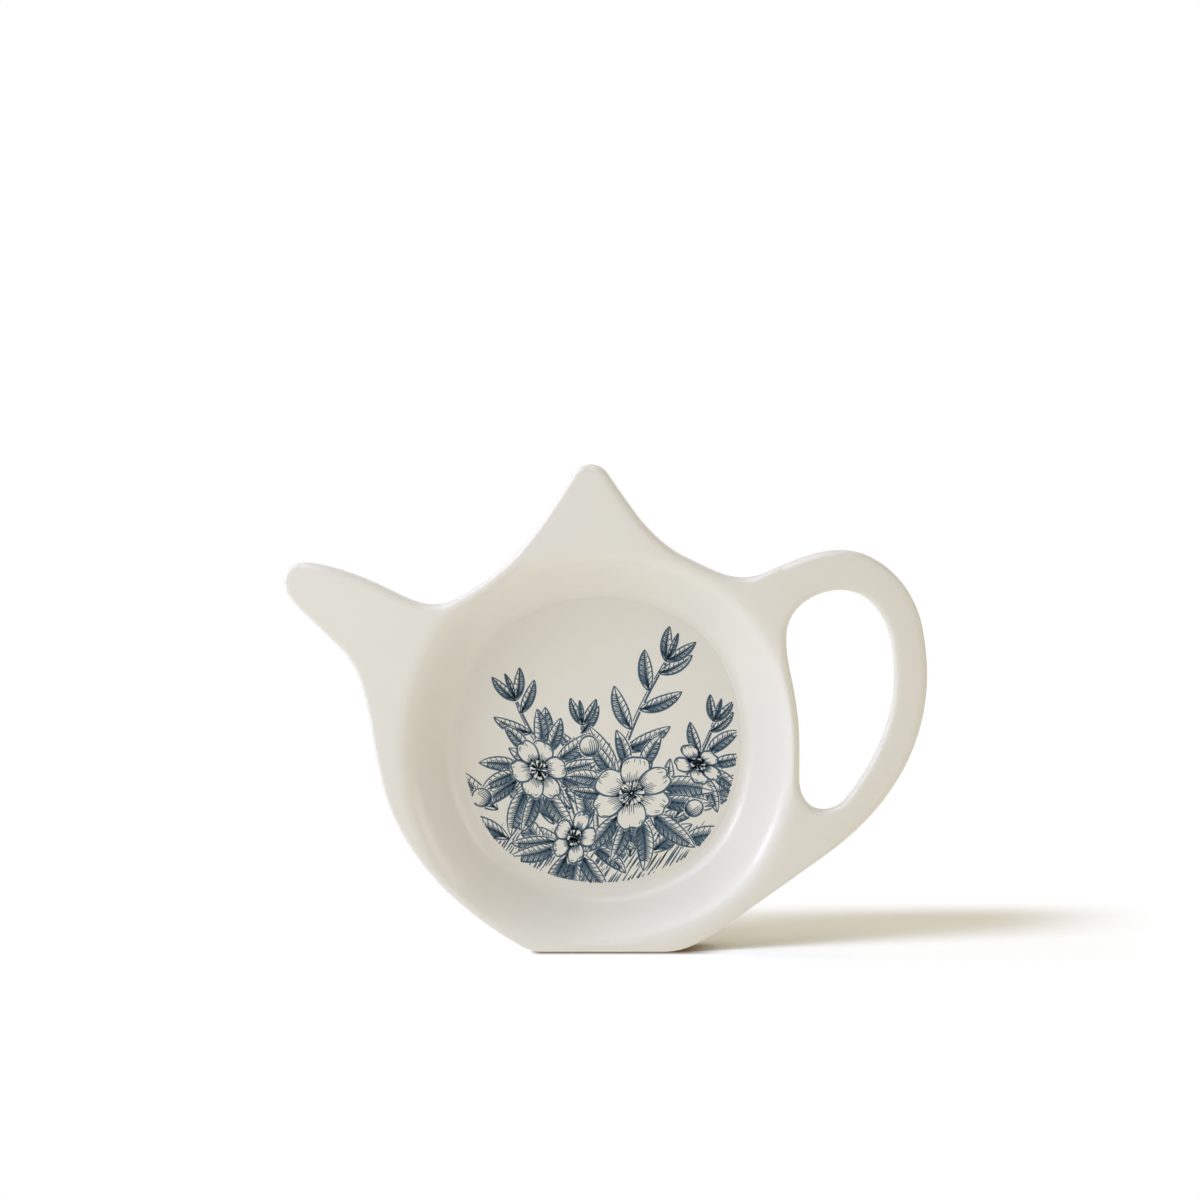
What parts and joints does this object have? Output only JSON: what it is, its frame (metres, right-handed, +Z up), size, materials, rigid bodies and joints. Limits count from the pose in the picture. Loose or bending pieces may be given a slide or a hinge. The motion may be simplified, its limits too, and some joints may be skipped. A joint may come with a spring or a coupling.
{
  "type": "tea bag rest",
  "caption": "Teapot-shaped tea bag rest: a shallow rounded-square well in a flat silhouette with spout, lid finial and finger loop, and a printed foil set flush in the well floor.",
  "frame": {"origin": "on the flat base, under the axis of the well and halfway through the base's depth", "axes": "+X from the spout to the handle, +Z up from the base to the lid finial, and the well opens towards -Y"},
  "size_m": [0.1607, 0.0163, 0.1238],
  "materials": {
    "melamine": "glossy off-white melamine",
    "printed_foil": "glossy off-white resin foil with a navy print"
  },
  "bodies": {
    "root": {"dish_moulding": "melamine", "decor_foil": "printed_foil"}
  },
  "joints": []
}
